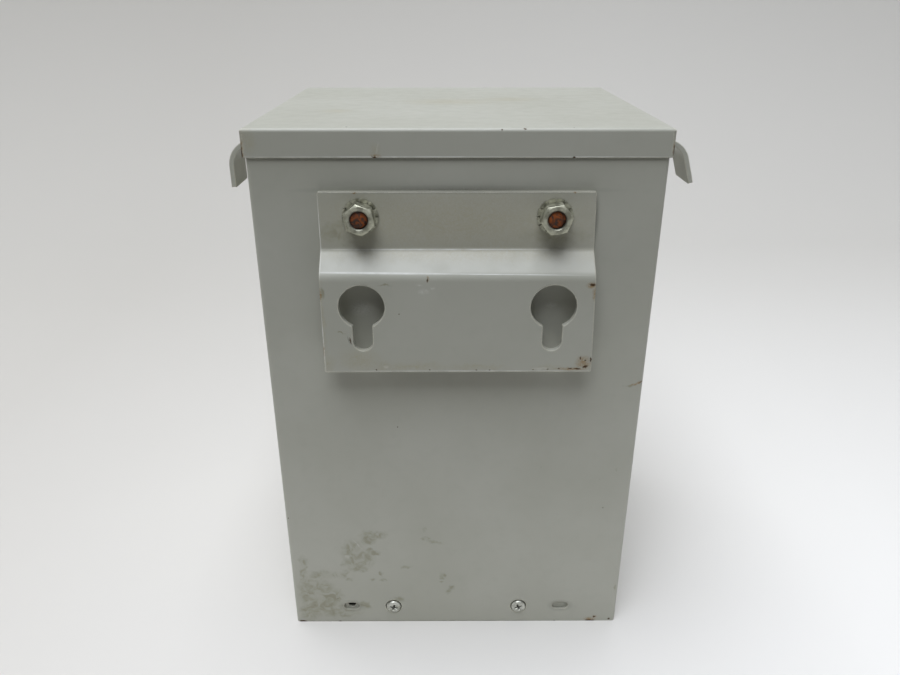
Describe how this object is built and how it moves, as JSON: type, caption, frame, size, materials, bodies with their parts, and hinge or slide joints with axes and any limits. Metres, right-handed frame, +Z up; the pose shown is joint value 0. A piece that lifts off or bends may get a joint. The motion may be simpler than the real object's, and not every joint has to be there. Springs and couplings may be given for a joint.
{
  "type": "dry-type electrical transformer",
  "caption": "Small encapsulated transformer in a painted sheet steel case with a keyhole hanger bracket, lifting ears, an overlapping lid and a screwed wiring cover.",
  "frame": {"origin": "centre of the case's flat bottom face", "axes": "+Z up; -Y out of the mounting side with the hanger bracket; +X to the right seen from there"},
  "size_m": [0.2493, 0.1818, 0.2814],
  "materials": {
    "case_paint": "satin grey-green enamel, scuffed, chipped and rust stained",
    "zinc_plate": "bright zinc plating gone dull",
    "rusted_steel": "rusted bare steel",
    "bare_aluminium": "brushed, unmarked",
    "potting_resin": "dull cast resin"
  },
  "bodies": {
    "root": {"rear_panel": "case_paint", "front_panel": "case_paint", "wiring_cover": "case_paint", "left_side_panel": "case_paint", "right_side_panel": "case_paint", "base_pan": "case_paint", "lid": "case_paint", "hanger_bracket": "case_paint", "left_lifting_ear": "case_paint", "right_lifting_ear": "case_paint", "cover_landing": "case_paint", "left_hanger_washer": "zinc_plate", "right_hanger_washer": "zinc_plate", "left_hanger_nut": "zinc_plate", "right_hanger_nut": "zinc_plate", "left_foot_screw": "zinc_plate", "right_foot_screw": "zinc_plate", "lower_left_cover_screw": "zinc_plate", "lower_right_cover_screw": "zinc_plate", "upper_left_cover_screw": "zinc_plate", "upper_right_cover_screw": "zinc_plate", "left_hanger_stud": "rusted_steel", "right_hanger_stud": "rusted_steel", "rating_plate": "bare_aluminium", "lower_left_plate_rivet": "bare_aluminium", "lower_right_plate_rivet": "bare_aluminium", "upper_left_plate_rivet": "bare_aluminium", "upper_right_plate_rivet": "bare_aluminium", "potted_core": "potting_resin"}
  },
  "joints": []
}
